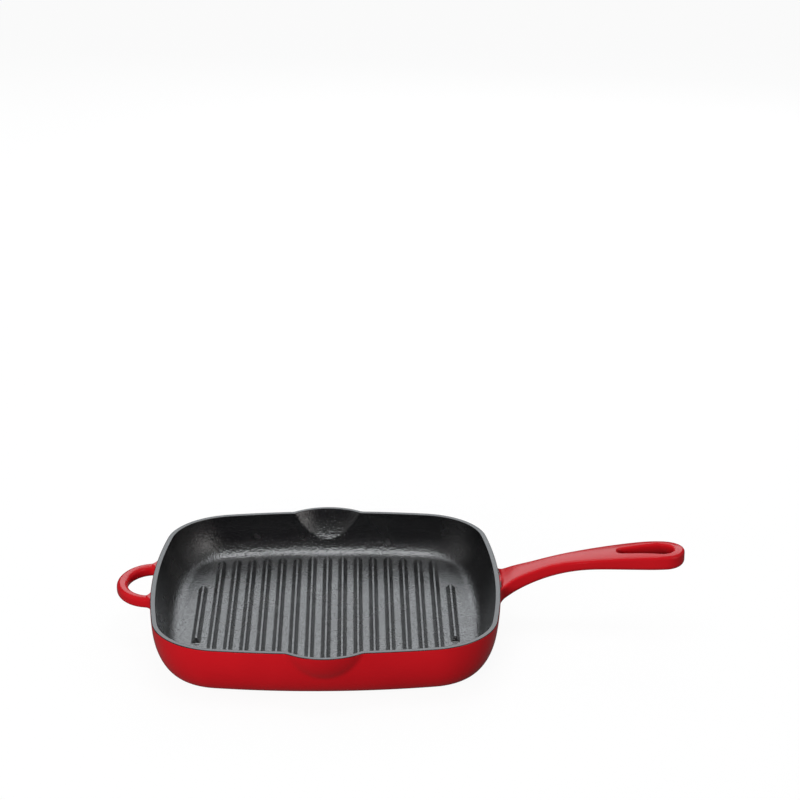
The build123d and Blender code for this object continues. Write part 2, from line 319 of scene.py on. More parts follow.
def pushed_out_by_spouts(points, outward, ball_radius, blend):
    """Moves wall points out to the spouts' balls, with a soft join between the two."""
    bowl = bpy.context.scene.bowl
    spout_y = bowl.rim_half - bowl.wall - bowl.spout_inset
    spout_z = bowl.height + bowl.spout_rise
    result = points.copy()
    for side in (1, -1):
        from_ball = points - np.array((0, side * spout_y, spout_z))
        along = (from_ball[:, :2] * outward).sum(1)
        inside = along**2 - (from_ball**2).sum(1) + ball_radius**2
        push = np.where(inside > 0, np.sqrt(np.maximum(inside, 0)) - along, -1.0)
        softness = np.clip((blend - np.abs(push)) / blend, 0, 1)
        push = np.maximum(push, 0) + softness**2 * blend / 4
        push[outward[:, 1] * side < 0.5] = 0
        result[:, :2] += outward * push[:, None]
    return result


def wall_row(stations, outside, z_angle, drawn_in=0.0):
    """One level row of the wall, at an angle on its quarter ellipse, outside or inside."""
    bowl = bpy.context.scene.bowl
    reach = bowl.foot_inset if outside else bowl.floor_inset
    bottom = 0.0 if outside else bowl.floor_level
    rim_inset = 0.0 if outside else bowl.wall
    inset = reach * (1 - cos(z_angle))
    plan, outward = bowed_square(stations, inset, rim_inset + drawn_in)
    z = bowl.height - (bowl.height - bottom) * sin(z_angle)
    points = np.column_stack([plan, np.full(len(plan), z)])
    ball_radius, blend = bowl.spout_radius - drawn_in, bowl.spout_edge
    if outside:
        ball_radius, blend = bowl.spout_radius + bowl.spout_wall - drawn_in, bowl.spout_blend
    return pushed_out_by_spouts(points, outward, ball_radius, blend)


def sideways(row):
    """Outward directions in plan along a closed row of points."""
    ahead = np.roll(row, -1, axis=0)[:, :2] - np.roll(row, 1, axis=0)[:, :2]
    normal = np.stack([ahead[:, 1], -ahead[:, 0]], -1)
    return normal / np.linalg.norm(normal, axis=1)[:, None]


def moved_in(row, distance, drop=0.0):
    """A level row of points moved inwards in plan and down."""
    result = row.copy()
    result[:, :2] -= sideways(row) * distance
    result[:, 2] -= drop
    return result


def shrunk_to_middle(row, scales):
    """Copies of a level row of points, drawn in towards its middle."""
    return [row * np.array((scale, scale, 1.0)) for scale in scales]


def level_angle(z, bottom=0.0):
    """Angle on the wall's quarter ellipse where it is at height z."""
    bowl = bpy.context.scene.bowl
    return asin((bowl.height - z) / (bowl.height - bottom))


def wall_angles(start, lower_rows):
    """Angles down the wall's quarter ellipse, from a start to the bottom."""
    upper = np.linspace(start, LOWER_WALL, UPPER_WALL_ROWS)
    return np.concatenate([upper, np.linspace(LOWER_WALL, radians(90), lower_rows)[1:]])


def coated(piece, thickness):
    """Gives a skin its thickness, inwards from the surface that shows."""
    modifier = piece.modifiers.new("Glaze thickness", "SOLIDIFY")
    modifier.thickness = thickness
    modifier.offset = -1
    return piece


def spline_through(places, values):
    """Natural cubic spline through points, as a function of place."""
    places = np.asarray(places, float)
    values = np.asarray(values, float)
    step = np.diff(places)
    count = len(places)
    matrix = np.eye(count)
    right = np.zeros(count)
    for i in range(1, count - 1):
        matrix[i, i - 1:i + 2] = step[i - 1], 2 * (step[i - 1] + step[i]), step[i]
        right[i] = 6 * ((values[i + 1] - values[i]) / step[i] - (values[i] - values[i - 1]) / step[i - 1])
    bend = np.linalg.solve(matrix, right)

    def value_at(place):
        place = np.asarray(place, float)
        i = np.clip(np.searchsorted(places, place) - 1, 0, count - 2)
        a = (places[i + 1] - place) / step[i]
        b = 1 - a
        return (a * values[i] + b * values[i + 1]
                + ((a**3 - a) * bend[i] + (b**3 - b) * bend[i + 1]) * step[i] ** 2 / 6)

    return value_at


def wall_distance_out(y, z):
    """How far the plain outside wall stands from the middle at a place on a side."""
    bowl = bpy.context.scene.bowl
    down = np.clip((bowl.height - z) / bowl.height, 0, 1)
    inset = bowl.foot_inset * (1 - np.sqrt(1 - down**2))
    bow = bowl.side_bow - inset
    return bowl.rim_half - inset - bow + np.sqrt(bow**2 - y**2)


def rooted_on_wall(section_at, start, blend, ceiling, steps=7):
    """Rows from inside the wall that flare a bar's root onto it, cut level at the ceiling.

    section_at gives y, z and the normal's y and z all round the bar at a place.
    """
    rows = []
    for step in range(steps):
        angle = pi / 2 * (1 - step / (steps - 1))
        place = np.full(len(section_at(start)[0]), start)
        for _ in range(4):
            y, z, normal_y, normal_z = section_at(place)
            y_out = y + normal_y * blend * (1 - cos(angle))
            z_out = np.minimum(z + normal_z * blend * (1 - cos(angle)), ceiling)
            place = wall_distance_out(y_out, z_out) + blend * (1 - sin(angle))
        rows.append(np.column_stack([place, y_out, z_out]))
    return [rows[0] - np.array((ROOT_DEPTH, 0, 0)), *rows]


class PAN_OT_wall_glaze(Operator):
    """Builds the red glaze on the outside of the wall and the spouts"""

    bl_idname = "pan.wall_glaze"
    bl_label = "Wall Glaze"

    def execute(self, context):
        bowl = context.scene.bowl
        stations = around_stations(spout_step=0.0012, spout_reach=0.036)
        top = level_angle(bowl.height - bowl.rim_band)
        rows = [wall_row(stations, True, angle) for angle in wall_angles(top, 16)]
        lip = rows[0]
        rows[0] = moved_in(lip, bowl.glaze_step * 0.9)
        rows[1] = moved_in(rows[1], bowl.glaze_step * 0.15)
        for near_top, drawn_in in ((0.35, 0.3), (0.7, 0.55)):
            level = level_angle(bowl.height - bowl.rim_band - bowl.rim_round * (1 - near_top))
            rows.insert(1, moved_in(wall_row(stations, True, level), bowl.glaze_step * drawn_in))
        rows.insert(0, moved_in(lip, bowl.glaze))
        rows.append(moved_in(rows[-1], bowl.foot_margin))
        piece = coated(lofted("wall_glaze", rows[::-1]), bowl.glaze)
        piece.data.materials.append(red_glaze())
        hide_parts("wall_enamel")
        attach(piece, "root")
        return {"FINISHED"}


class PAN_OT_underside_glaze(Operator):
    """Builds the red glaze under the pan, with its foot ring and shallow hollow"""

    bl_idname = "pan.underside_glaze"
    bl_label = "Underside Glaze"

    def execute(self, context):
        bowl = context.scene.bowl
        stations = around_stations(spout_step=0.003, spout_reach=0.036)

        def row(inset, z):
            plan, _ = bowed_square(stations, bowl.foot_inset, inset)
            return np.column_stack([plan, np.full(len(plan), z)])

        edge = bowl.foot_round
        rows = [row(bowl.foot_margin, 0.0), row(bowl.foot_ring - edge, 0.0)]
        for sine, cosine in quarter_turn()[1:]:
            rows.append(row(bowl.foot_ring - edge * (1 - sine), edge * (1 - cosine)))
        rows.append(row(bowl.foot_ring, bowl.foot_recess - edge))
        for sine, cosine in quarter_turn()[1:]:
            rows.append(row(bowl.foot_ring + edge * (1 - cosine), bowl.foot_recess - edge * (1 - sine)))
        rows += shrunk_to_middle(rows[-1], (0.93, 0.8, 0.6, 0.35, 0.12))
        piece = coated(lofted("underside_glaze", rows, last_cap=True), bowl.glaze)
        for polygon in piece.data.polygons:
            polygon.flip()
        piece.data.materials.append(red_glaze())
        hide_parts("underside_enamel")
        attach(piece, "root")
        return {"FINISHED"}


class PAN_OT_cooking_glaze(Operator):
    """Builds the black glaze of the rim, the inside wall, the spouts and the floor"""

    bl_idname = "pan.cooking_glaze"
    bl_label = "Cooking Surface Glaze"

    def execute(self, context):
        bowl = context.scene.bowl
        stations = around_stations(spout_step=0.0008, spout_reach=0.034)
        band = wall_row(stations, True, level_angle(bowl.height - bowl.rim_band))
        inner = wall_row(stations, False, 0)
        radius = bowl.rim_round
        rows = [moved_in(band, bowl.glaze_step, bowl.glaze), moved_in(band, bowl.glaze_step)]
        for sine, cosine in quarter_turn():
            level = level_angle(bowl.height - radius * (1 - sine))
            rows.append(moved_in(wall_row(stations, True, level), bowl.glaze_step + radius * (1 - cosine)))
        outer_top, inner_top = rows[-1], moved_in(inner, -radius)
        rows += [outer_top + (inner_top - outer_top) * step / 3 for step in (1, 2, 3)]
        for sine, cosine in quarter_turn()[1:]:
            rows.append(moved_in(inner, -radius * (1 - sine), radius * (1 - cosine)))
        start = level_angle(bowl.height - radius - bowl.glaze, bowl.floor_level)
        rows += [wall_row(stations, False, angle) for angle in wall_angles(start, 18)]
        rows += shrunk_to_middle(rows[-1], (0.96, 0.9, 0.8, 0.6, 0.35, 0.12))
        piece = coated(lofted("cooking_glaze", rows, last_cap=True), bowl.glaze)
        piece.data.materials.append(black_glaze())
        piece.data.materials.append(rim_glaze())
        for polygon in piece.data.polygons:
            polygon.material_index = int(polygon.center.z > bowl.height - radius)
        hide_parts("cooking_enamel")
        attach(piece, "root")
        return {"FINISHED"}


class PAN_OT_ribs_glaze(Operator):
    """Builds the black glazed grill ribs, one closed form for each rib"""

    bl_idname = "pan.ribs_glaze"
    bl_label = "Grill Ribs"

    def execute(self, context):
        bowl, ribs = context.scene.bowl, context.scene.ribs
        reach = bowl.rim_half - bowl.wall - bowl.floor_inset - ribs.end_margin
        bow = bowl.side_bow - bowl.rim_half + reach
        side = (ribs.long_count // 2 + 1) * ribs.pitch
        plan = [(-side, ribs.short_length / 2), (side, ribs.short_length / 2)]
        for index in range(ribs.long_count):
            x = (index - ribs.long_count // 2) * ribs.pitch
            plan.append((x, reach - bow + sqrt(bow**2 - x**2)))
        build = bmesh.new()
        for x, half_length in plan:
            add_rib(build, x, half_length)
        piece = finished_mesh("ribs_glaze", build)
        piece.data.materials.append(black_glaze())
        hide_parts("cooking_enamel")
        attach(piece, "root")
        return {"FINISHED"}


def rib_profile():
    """From foot to crest: how far each step is outside the base's edge, and its height."""
    ribs = bpy.context.scene.ribs
    run = (ribs.base_width - ribs.crest_width) / 2
    slope = atan2(ribs.height, run)
    foot = ribs.foot_round * tan(slope / 2)
    crest = ribs.crest_round * tan(slope / 2)
    steps = [(foot + ribs.foot_round * 0.25, -ribs.foot_round * 0.3), (foot, 0.0)]
    for step in range(1, 6):
        angle = slope * step / 5
        steps.append((foot - ribs.foot_round * sin(angle), ribs.foot_round * (1 - cos(angle))))
    steps.append((-run / 2, ribs.height / 2))
    for step in range(6):
        angle = slope * (1 - step / 5)
        steps.append((-run - crest + ribs.crest_round * sin(angle),
                      ribs.height - ribs.crest_round * (1 - cos(angle))))
    return steps


def add_rib(build, x, half_length):
    """One rib as a stack of rounded rings, flared at its foot and rounded along its crest."""
    bowl, ribs = bpy.context.scene.bowl, bpy.context.scene.ribs
    squarest, roundest = 0.3, 0.85
    rings = []
    for out, rise in rib_profile():
        half_width = ribs.base_width / 2 + out
        radius = min(half_width * roundest, ribs.foot_round + max(out, -half_width))
        radius = max(radius, half_width * squarest)
        plan = rounded_rectangle(half_width, half_length + out, radius, steps=5)
        rings.append([(x + across, along, bowl.floor_level + rise) for across, along in plan])
    add_loft(build, rings, first_cap=True, last_cap=True)


def handle_lines():
    """Functions of place: height of the handle's crowned top and of its underside, and half its width."""
    bowl, handle = bpy.context.scene.bowl, bpy.context.scene.handle
    place_shares, rises, thicknesses, crowns = np.array(HANDLE_SIDE_SHARES).T
    places = bowl.rim_half + place_shares * handle.reach
    middles = handle.root_level + rises * handle.rise
    halves = thicknesses * handle.thickness / 2
    end_x = bowl.rim_half + handle.reach - handle.end_radius
    waist_x = bowl.rim_half + handle.waist_place
    widths = [(bowl.rim_half + place * handle.waist_place,
               handle.waist_half + left * (handle.root_half - handle.waist_half))
              for place, left in ROOT_FLARE_SHARES]
    widths += [(waist_x + place * (end_x - waist_x),
                handle.waist_half + reached * (handle.end_radius - handle.waist_half))
               for place, reached in END_FLARE_SHARES]
    widths.append((end_x + handle.end_radius * 0.2, handle.end_radius * 0.98))
    ridge, crown = spline_through(places, middles + halves), spline_through(places, crowns)
    underside = spline_through(places, middles - halves)

    def top_z(x, y=0.0):
        return ridge(x) - crown(x) * handle.crown * (y / handle.end_radius) ** 2

    def under_z(x, y=0.0):
        return underside(x)

    return top_z, under_z, spline_through(*zip(*widths))


def handle_outlines(count_to_hole=44, count_at_tip=8, count_along=16, count_at_end=18):
    """Matching points in plan, with normals, on the middle line or the hole and on the outer edge."""
    bowl, handle = bpy.context.scene.bowl, bpy.context.scene.handle
    _, _, half_width = handle_lines()
    tip_x = bowl.rim_half + handle.reach
    end_x = tip_x - handle.end_radius
    hole_end_x = tip_x - handle.hole_from_tip - handle.hole_end_radius
    hole_tip_x = tip_x - handle.hole_from_tip - handle.hole_length + handle.hole_tip_radius
    lean = asin((handle.hole_end_radius - handle.hole_tip_radius) / (hole_end_x - hole_tip_x))
    hole_start = hole_tip_x - handle.hole_tip_radius - handle.hole_lip
    inner, inner_normal, outer_x = [], [], []
    for x in np.linspace(bowl.rim_half + HANDLE_START, hole_start, count_to_hole)[:-1]:
        inner.append((x, 0.0))
        inner_normal.append((0.0, 0.0))
        outer_x.append(x)
    rows_before_hole = len(inner)
    for share in np.linspace(0, 1, count_at_tip):
        angle = pi - share * (pi / 2 - lean)
        inner.append((hole_tip_x + handle.hole_tip_radius * cos(angle), handle.hole_tip_radius * sin(angle)))
        inner_normal.append((cos(angle), sin(angle)))
        outer_x.append(hole_start + share * (hole_tip_x - hole_start) * 1.1)
    last_outer = outer_x[-1]
    top_angle = pi / 2 + lean
    a = np.array((hole_tip_x, 0)) + handle.hole_tip_radius * np.array((cos(top_angle), sin(top_angle)))
    b = np.array((hole_end_x, 0)) + handle.hole_end_radius * np.array((cos(top_angle), sin(top_angle)))
    for share in np.linspace(0, 1, count_along)[1:]:
        inner.append(tuple(a + (b - a) * share))
        inner_normal.append((cos(top_angle), sin(top_angle)))
        outer_x.append(last_outer + (end_x - last_outer) * share)
    outer = [(x, float(half_width(x))) for x in outer_x]
    outer_normal, nudge = [], 1e-4
    for x in outer_x:
        slope = (float(half_width(x + nudge)) - float(half_width(x - nudge))) / (2 * nudge)
        norm = sqrt(1 + slope**2)
        outer_normal.append((-slope / norm, 1 / norm))
    outer_normal[-1] = (0.0, 1.0)
    outer[-1] = (end_x, handle.end_radius)
    for share in np.linspace(0, 1, count_at_end)[1:]:
        angle = top_angle * (1 - share)
        inner.append((hole_end_x + handle.hole_end_radius * cos(angle), handle.hole_end_radius * sin(angle)))
        inner_normal.append((cos(angle), sin(angle)))
        angle = pi / 2 * (1 - share)
        outer.append((end_x + handle.end_radius * cos(angle), handle.end_radius * sin(angle)))
        outer_normal.append((cos(angle), sin(angle)))
    return *(np.array(line) for line in (inner, inner_normal, outer, outer_normal)), rows_before_hole


class PAN_OT_long_handle_glaze(Operator):
    """Builds the red glazed long handle with its teardrop hanging hole"""

    bl_idname = "pan.long_handle_glaze"
    bl_label = "Long Handle"

    def execute(self, context):
        handle = context.scene.handle
        top_z, under_z, half_width = handle_lines()
        inner, inner_normal, outer, outer_normal, before_hole = handle_outlines()
        across, lip = 9, handle.hole_lip

        def face_points(edge_inset, height_at):
            """Columns across the top or the underside, from the inner edge to the outer edge."""
            inner_edge = inner + inner_normal * lip
            outer_edge = outer - outer_normal * edge_inset
            for step in range(across):
                plan = inner_edge + (outer_edge - inner_edge) * step / (across - 1)
                yield np.column_stack([plan, height_at(*plan.T)])

        def upper_edge(line, inwards, radius):
            """Columns round an upper edge, from the top down to the side."""
            for sine, cosine in quarter_turn()[1:]:
                plan = line + inwards * radius * (1 - sine)
                yield np.column_stack([plan, top_z(*plan.T) - radius * (1 - cosine)])

        def lower_edge(line, inwards, radius):
            """Columns round a lower edge, from the side down to the underside."""
            for sine, cosine in quarter_turn():
                plan = line + inwards * radius * (1 - cosine)
                yield np.column_stack([plan, under_z(*plan.T) + radius * (1 - sine)])

        columns = [*face_points(handle.top_round, top_z), *upper_edge(outer, -outer_normal, handle.top_round)]
        side_top = columns[-1][:, 2]
        under = under_z(outer[:, 0]) + handle.under_round
        for share_down in (0.33, 0.67):
            columns.append(np.column_stack([outer, side_top + (under - side_top) * share_down]))
        columns += lower_edge(outer, -outer_normal, handle.under_round)
        columns += list(face_points(handle.under_round, under_z))[-2::-1]
        grid = np.array(columns).transpose(1, 0, 2)

        hole_rows = slice(before_hole, None)
        hole, hole_normal = inner[hole_rows], inner_normal[hole_rows]
        middle = np.column_stack([hole, (top_z(*hole.T) + under_z(*hole.T)) / 2])
        walls = [grid[hole_rows, 0], *upper_edge(hole, hole_normal, lip), middle,
                 *list(lower_edge(hole, hole_normal, lip))[:-1], grid[hole_rows, -1]]
        wall_grid = np.array(walls).transpose(1, 0, 2)

        build = bmesh.new()
        root_rows = self.root_rows(grid[0], top_z, under_z, half_width)
        for side in (1, -1):
            flip = np.array((1, side, 1))
            add_grid(build, np.concatenate([root_rows, grid]) * flip, side < 0)
            add_grid(build, wall_grid * flip, side > 0)
        bmesh.ops.remove_doubles(build, verts=build.verts, dist=MERGE_DISTANCE)
        open_edges = [edge for edge in build.edges if edge.is_boundary]
        if open_edges:
            bmesh.ops.holes_fill(build, edges=open_edges, sides=0)
        bmesh.ops.recalc_face_normals(build, faces=build.faces)
        piece = finished_mesh("long_handle_glaze", build)
        piece.data.materials.append(red_glaze())
        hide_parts("long_handle_enamel")
        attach(piece, "root")
        return {"FINISHED"}

    def root_rows(self, first, top_z, under_z, half_width):
        """Rows from inside the wall out to the handle's first row, flared onto the wall."""
        handle, bowl = bpy.context.scene.handle, bpy.context.scene.bowl
        x0 = first[0, 0]
        y, z = first[:, 1], first[:, 2]
        width0 = float(half_width(x0))
        top0, under0 = float(top_z(x0)), float(under_z(x0))
        tangent = np.gradient(np.stack([y, z], -1), axis=0)
        normal = np.stack([-tangent[:, 1], tangent[:, 0]], -1)
        normal /= np.maximum(np.linalg.norm(normal, axis=1), 1e-9)[:, None]
        if normal[0, 1] < 0:
            normal = -normal
        normal[0] = (0, 1)
        normal[-1] = (0, -1)
        height = (z - under0) / (top0 - under0)

        def section_at(place):
            top, under = top_z(place), under_z(place)
            return y * half_width(place) / width0, under + height * (top - under), normal[:, 0], normal[:, 1]

        ceiling, first_gap = bowl.height - bowl.rim_band, 0.0005
        return np.array(rooted_on_wall(section_at, x0 - first_gap, handle.root_blend, ceiling))


def add_grid(build, grid, flip):
    """Four-sided faces over a grid of points."""
    verts = [[build.verts.new(point) for point in row] for row in grid]
    for near, far in zip(verts, verts[1:]):
        for i in range(len(near) - 1):
            corners = (near[i], near[i + 1], far[i + 1], far[i])
            build.faces.new(corners[::-1] if flip else corners)


class PAN_OT_helper_handle_glaze(Operator):
    """Builds the red glazed helper handle, a loop of round-edged bar"""

    bl_idname = "pan.helper_handle_glaze"
    bl_label = "Helper Handle"

    def execute(self, context):
        loop, bowl = context.scene.loop, context.scene.bowl
        section = rounded_rectangle(loop.bar_width / 2, loop.bar_height / 2, loop.bar_round, steps=8)
        normals = sideways(section)
        rows = []
        clear = loop.root_blend * 1.15
        for turn in np.linspace(0, pi, 61):
            x, y = loop.reach * sin(turn), loop.half_width * cos(turn)
            if x < clear:
                continue
            tangent = np.array((loop.reach * cos(turn), -loop.half_width * sin(turn)))
            tangent /= np.linalg.norm(tangent)
            out = np.array((-tangent[1], tangent[0]))
            rows.append(np.column_stack([
                bowl.rim_half + x + out[0] * section[:, 0], y + out[1] * section[:, 0],
                loop.level + section[:, 1]]))

        def root(side):
            def section_at(place):
                out = np.clip((place - bowl.rim_half) / loop.reach, 0, 1)
                y = side * loop.half_width * np.sqrt(1 - out**2)
                return (y + side * section[:, 0], loop.level + section[:, 1],
                        side * normals[:, 0], normals[:, 1])

            return rooted_on_wall(section_at, bowl.rim_half + clear, loop.root_blend,
                                  bowl.height - loop.root_drop, steps=13)

        rows = root(1) + rows + root(-1)[::-1]
        rows = [row * np.array((-1, 1, 1)) for row in rows]
        build = bmesh.new()
        add_loft(build, rows, first_cap=True, last_cap=True)
        bmesh.ops.recalc_face_normals(build, faces=build.faces)
        piece = finished_mesh("helper_handle_glaze", build)
        piece.data.materials.append(red_glaze())
        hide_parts("helper_handle_enamel")
        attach(piece, "root")
        return {"FINISHED"}


class PAN_OT_iron_casting(Operator):
    """Gives the iron under the glaze its as-cast finish"""

    bl_idname = "pan.iron_casting"
    bl_label = "Iron Casting"

    def execute(self, context):
        for node in ("pan_body", "grill_ribs", "long_handle", "helper_handle"):
            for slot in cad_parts[node].material_slots:
                slot.material = cast_iron()
        return {"FINISHED"}


# Shader groups


class Tree:
    """A node tree, with short ways of adding nodes to it."""

    def __init__(self, tree):
        self.nodes, self.links = tree.nodes, tree.links

    def add(self, kind, values=None, **settings):
        """New node, with its settings and its inputs' values."""
        node = self.nodes.new("ShaderNode" + kind)
        for name, setting in settings.items():
            setattr(node, name, setting)
        self.feed(node, values or {})
        return node

    def feed(self, node, values):
        """Sets a node's inputs, each to a value of its own or to the socket that feeds it."""
        for name, value in values.items():
            if isinstance(value, bpy.types.NodeSocket):
                self.links.new(value, node.inputs[name])
            else:
                node.inputs[name].default_value = value

    def math(self, operation, first, second, clamp=False):
        """Result of a sum with two numbers or sockets."""
        return self.add("Math", {0: first, 1: second}, operation=operation, use_clamp=clamp).outputs[0]

    def mixed_colour(self, factor, first, second):
        """Mix of two colours by a mask."""
        return self.add("Mix", {0: factor, 6: (*first, 1), 7: (*second, 1)}, data_type="RGBA").outputs[2]

    def spread(self, value, low, high):
        """A 0 to 1 value spread between two others."""
        return self.add("MapRange", {"Value": value, "To Min": low, "To Max": high}).outputs["Result"]

    def bump(self, height, strength, distance):
        """Normal of a surface with this height."""
        values = {"Strength": strength, "Distance": distance, "Height": height}
        return self.add("Bump", values).outputs["Normal"]


def shader_group(name, inputs, outputs):
    """Node group with named number sockets, its tree and its two ends, or only the group if it is built."""
    if name in bpy.data.node_groups:
        return bpy.data.node_groups[name], None, None, None
    group = bpy.data.node_groups.new(name, "ShaderNodeTree")
    for socket, default in inputs.items():
        made = group.interface.new_socket(socket, in_out="INPUT", socket_type="NodeSocketFloat")
        made.default_value = default
    for socket in outputs:
        group.interface.new_socket(socket, in_out="OUTPUT", socket_type="NodeSocketFloat")
    return group, Tree(group), group.nodes.new("NodeGroupInput").outputs, group.nodes.new("NodeGroupOutput")


def sand_grain():
    """Group: the pebbled skin that a sand mould leaves, as a height and a mask of its hollows."""
    group, tree, given, out = shader_group(
        "Sand Grain", {"Size": 0.0018, "Fine Share": 0.35}, ("Height", "Hollows"))
    if tree is None:
        return group
    hollow_depth, mask_level = 0.35, 1.4
    placed = {"Vector": tree.add("TexCoord").outputs["Object"],
              "Scale": tree.math("DIVIDE", 1.0, given["Size"])}
    pebbles = tree.add("TexVoronoi", {"Smoothness": 0.8, **placed}, feature="SMOOTH_F1")
    rough = tree.add("TexNoise", {"Detail": 1.5, **placed})
    hollow = tree.math("MULTIPLY", pebbles.outputs["Distance"], hollow_depth)
    pebble_height = tree.math("SUBTRACT", 1.0, hollow, clamp=True)
    fine = tree.math("MULTIPLY", rough.outputs["Fac"], given["Fine Share"])
    height = tree.math("ADD", pebble_height, fine)
    tree.feed(out, {"Height": height, "Hollows": tree.math("SUBTRACT", mask_level, height, clamp=True)})
    return group


def glaze_drift():
    """Group: slow change of a glaze's thickness over the surface, from 0 to 1, and its orange peel."""
    group, tree, given, out = shader_group(
        "Glaze Drift", {"Size": 0.05, "Contrast": 1.6}, ("Thickness", "Ripple"))
    if tree is None:
        return group
    middle, peel_fineness = 0.5, 9.0
    where = tree.add("TexCoord").outputs["Object"]
    per_metre = tree.math("DIVIDE", 1.0, given["Size"])
    slow = tree.add("TexNoise", {"Detail": 2.0, "Vector": where, "Scale": per_metre})
    centred = tree.math("SUBTRACT", slow.outputs["Fac"], middle)
    spread = tree.math("MULTIPLY", centred, given["Contrast"])
    peel_scale = tree.math("MULTIPLY", per_metre, peel_fineness)
    peel = tree.add("TexNoise", {"Detail": 1.0, "Vector": where, "Scale": peel_scale})
    tree.feed(out, {"Thickness": tree.math("ADD", spread, middle, clamp=True), "Ripple": peel.outputs["Fac"]})
    return group


# Materials


def new_material(name):
    """Material, its tree and its shader."""
    material = bpy.data.materials.new(name)
    material.use_nodes = True
    tree = Tree(material.node_tree)
    return material, tree, tree.nodes["Principled BSDF"]


def red_glaze():
    """Glossy red vitreous enamel with a slight orange peel."""
    if "Red Glaze" in bpy.data.materials:
        return bpy.data.materials["Red Glaze"]
    finish = bpy.context.scene.finishes
    material, tree, shader = new_material("Red Glaze")
    drift = tree.add("Group", {"Size": 0.045, "Contrast": 1.5}, node_tree=glaze_drift())
    thickness = drift.outputs["Thickness"]
    tree.feed(shader, {
        "Base Color": tree.mixed_colour(thickness, finish.red, finish.red_deep),
        "Roughness": tree.spread(thickness, finish.red_roughness * 0.8, finish.red_roughness * 1.3),
        "IOR": finish.red_ior,
        "Normal": tree.bump(drift.outputs["Ripple"], 0.25, 0.00025),
    })
    return material


def black_glaze():
    """Satin black enamel, thin enough for the casting's grain to show."""
    if "Black Glaze" in bpy.data.materials:
        return bpy.data.materials["Black Glaze"]
    finish = bpy.context.scene.finishes
    material, tree, shader = new_material("Black Glaze")
    grain = tree.add("Group", {"Size": 0.0015, "Fine Share": 1.0}, node_tree=sand_grain())
    drift = tree.add("Group", {"Size": 0.03, "Contrast": 1.8}, node_tree=glaze_drift())
    thickness = drift.outputs["Thickness"]
    tree.feed(shader, {
        "Base Color": tree.mixed_colour(thickness, finish.black, finish.black_worn),
        "Roughness": tree.spread(thickness, finish.black_roughness * 0.85, finish.black_roughness * 1.2),
        "IOR": finish.black_ior,
        "Normal": tree.bump(grain.outputs["Height"], 0.8, 0.00056),
    })
    return material


def rim_glaze():
    """The same black enamel on the rim, where the iron under it is ground flat."""
    if "Rim Glaze" in bpy.data.materials:
        return bpy.data.materials["Rim Glaze"]
    finish = bpy.context.scene.finishes
    material, tree, shader = new_material("Rim Glaze")
    grain = tree.add("Group", {"Size": 0.0015, "Fine Share": 1.0}, node_tree=sand_grain())
    tree.feed(shader, {
        "Base Color": (*finish.black_worn, 1),
        "Roughness": finish.black_roughness,
        "IOR": finish.rim_ior,
        "Normal": tree.bump(grain.outputs["Height"], 0.4, 0.0001),
    })
    return material


def cast_iron():
    """Bare grey iron as it leaves the mould."""
    if "Cast Iron" in bpy.data.materials:
        return bpy.data.materials["Cast Iron"]
    iron = bpy.context.scene.finishes.iron
    material, tree, shader = new_material("Cast Iron")
    grain = tree.add("Group", {"Size": 0.0014, "Fine Share": 0.6}, node_tree=sand_grain())
    tree.feed(shader, {
        "Base Color": tree.mixed_colour(grain.outputs["Hollows"], iron, tuple(part * 0.6 for part in iron)),
        "Roughness": tree.spread(grain.outputs["Height"], 0.75, 0.55),
        "Metallic": 0.6,
        "Normal": tree.bump(grain.outputs["Height"], 0.5, 0.0002),
    })
    return material


def studio_white():
    """Floor and backdrop: white to the camera with the pan's shadow on it, and dim in the gloss."""
    studio = bpy.context.scene.studio
    material, tree, shader = new_material("Studio White")
    tree.feed(shader, {"Base Color": (*studio.floor_colour, 1), "Roughness": 0.9, "Specular IOR Level": 0.1})
    glow = tree.add("Emission").outputs[0]
    white = tree.add("MixShader", {0: studio.seen_share, 1: shader.outputs["BSDF"], 2: glow}).outputs[0]
    dim = tree.add("BsdfDiffuse", {"Color": (*studio.floor_dim, 1)}).outputs[0]
    path = tree.add("LightPath").outputs
    mirrored = tree.math("MULTIPLY", path["Is Glossy Ray"], studio.mirrored_share)
    seen = tree.math("ADD", path["Is Camera Ray"], mirrored)
    seen = tree.math("ADD", seen, path["Is Transmission Ray"], clamp=True)
    mix = tree.add("MixShader", {0: seen, 1: dim, 2: white}).outputs[0]
    tree.feed(tree.nodes["Material Output"], {"Surface": mix})
    return material


